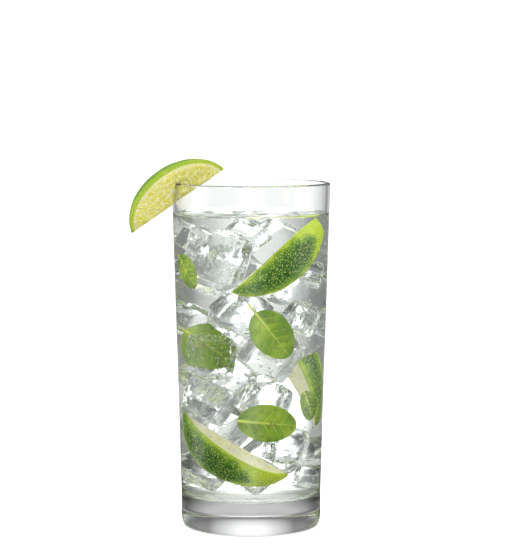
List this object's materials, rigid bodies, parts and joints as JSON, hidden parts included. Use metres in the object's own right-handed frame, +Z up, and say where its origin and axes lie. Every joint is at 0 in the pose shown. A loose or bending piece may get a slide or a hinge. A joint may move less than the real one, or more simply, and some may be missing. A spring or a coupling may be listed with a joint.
{
  "type": "mojito cocktail in a highball glass",
  "caption": "Clear highball glass of iced mojito with lime wedges and mint leaves in the drink and a lime wedge hung on the rim.",
  "frame": {"origin": "centre of the flat face that the tumbler stands on", "axes": "+Z up through the rim, +X to the right and +Y away from someone facing the glass; the rim's lime wedge is at -X"},
  "size_m": [0.0883, 0.07, 0.1628],
  "materials": {
    "glass": "clear soda-lime glass, fire-polished rim",
    "drink": "clear sparkling drink, faintly cloudy",
    "lime": "fresh cut lime: waxy green rind, pale pith, wet yellow-green pulp",
    "ice": "clear ice with small trapped bubbles",
    "mint": "fresh mint leaf, puckered between its veins",
    "bubbles": "gas bubbles in the drink"
  },
  "bodies": {
    "root": {"tumbler": "glass", "drink": "drink", "rim_lime_wedge": "lime"}
  },
  "joints": []
}
